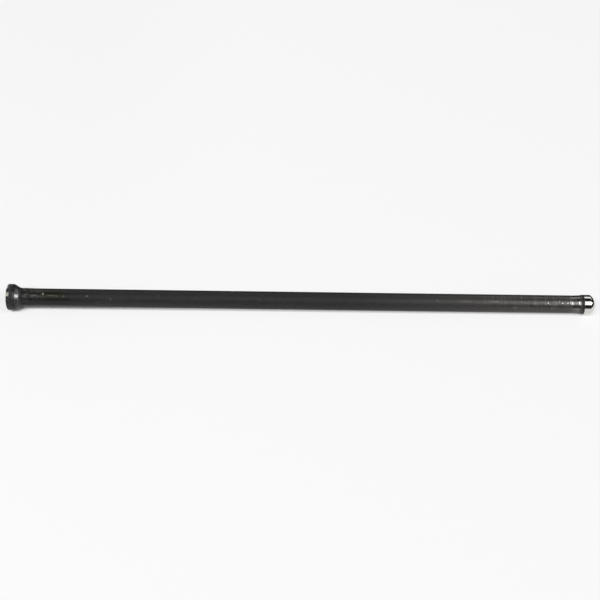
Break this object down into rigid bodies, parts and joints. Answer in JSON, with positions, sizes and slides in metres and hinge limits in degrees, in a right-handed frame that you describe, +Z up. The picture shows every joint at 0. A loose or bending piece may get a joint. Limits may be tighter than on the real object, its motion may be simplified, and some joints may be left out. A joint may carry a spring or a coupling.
{
  "type": "engine pushrod",
  "caption": "Slender round steel rod with a socketed cup head and a polished ball tip at opposite ends, passing tappet lift to a rocker arm.",
  "frame": {"origin": "on the rod's axis, half way between the face of the cup and the tip of the ball", "axes": "+X along the rod from the cup to the ball, +Z up as the rod lies"},
  "size_m": [0.262, 0.0116, 0.0116],
  "materials": {
    "black_tube_steel": "blackened and oiled drawn steel, satin, with fine lengthwise streaks and small pale specks",
    "black_hardened_steel": "turned, hardened and blackened steel, satin, with a brighter rubbed edge at the face",
    "polished_steel": "hardened and ground steel, polished bright, with a darker taper behind the ball"
  },
  "bodies": {
    "root": {"push_tube": "black_tube_steel", "cup_end": "black_hardened_steel", "ball_end": "polished_steel"}
  },
  "joints": []
}
